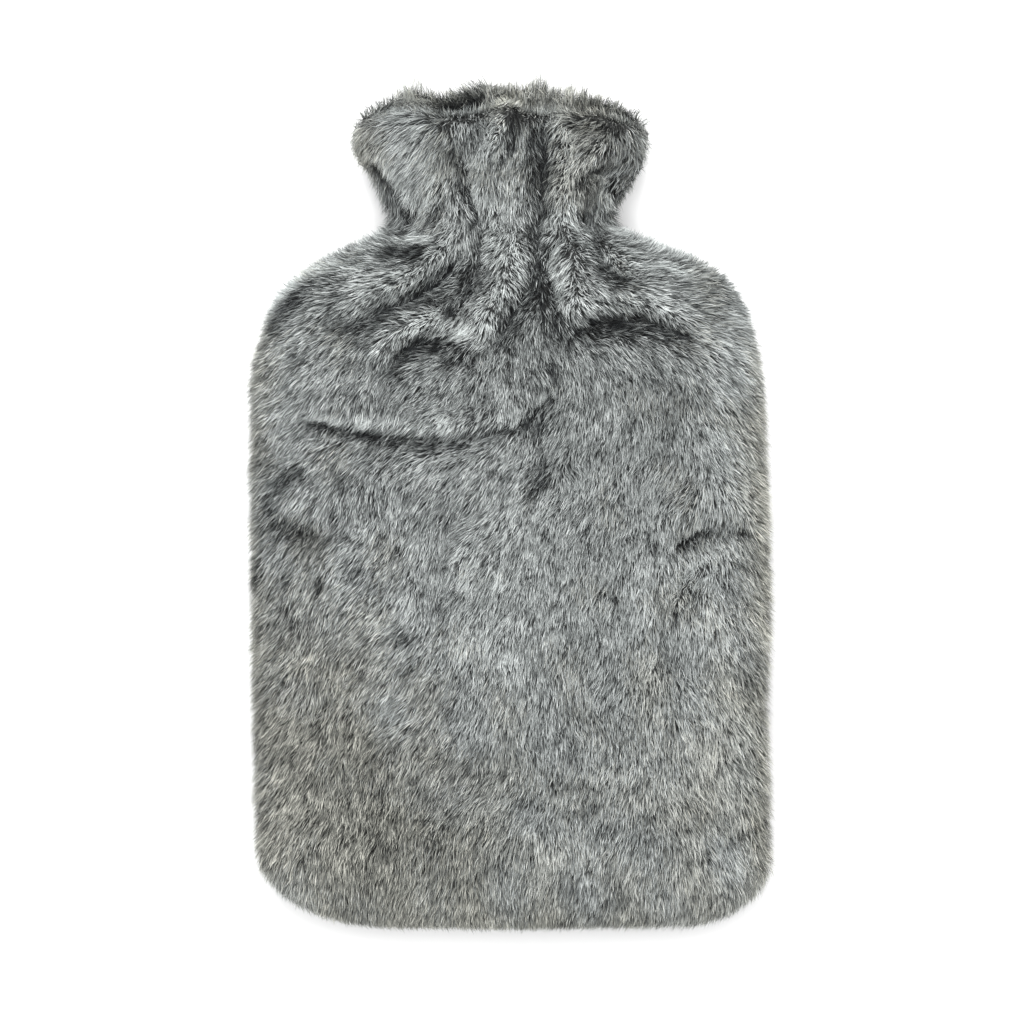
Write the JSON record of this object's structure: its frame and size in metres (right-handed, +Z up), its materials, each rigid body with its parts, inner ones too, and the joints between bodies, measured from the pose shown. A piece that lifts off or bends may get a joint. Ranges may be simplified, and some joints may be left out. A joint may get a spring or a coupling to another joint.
{
  "type": "hot water bottle cover",
  "caption": "Soft fur pouch for a hot water bottle, with a gathered neck and an open, flared collar, lying on its back.",
  "frame": {"origin": "on the surface that the cover lies on, under the middle of its length and width", "axes": "+Y along the cover from its bottom seam to the mouth of the collar, +Z up through the front, +X to the right as seen from above with the collar away from the viewer"},
  "size_m": [0.2154, 0.3492, 0.0513],
  "materials": {
    "fur": "long-pile faux fur, grey, with darker roots and paler tips"
  },
  "bodies": {
    "root": {"front_panel": "fur", "back_panel": "fur"}
  },
  "joints": []
}
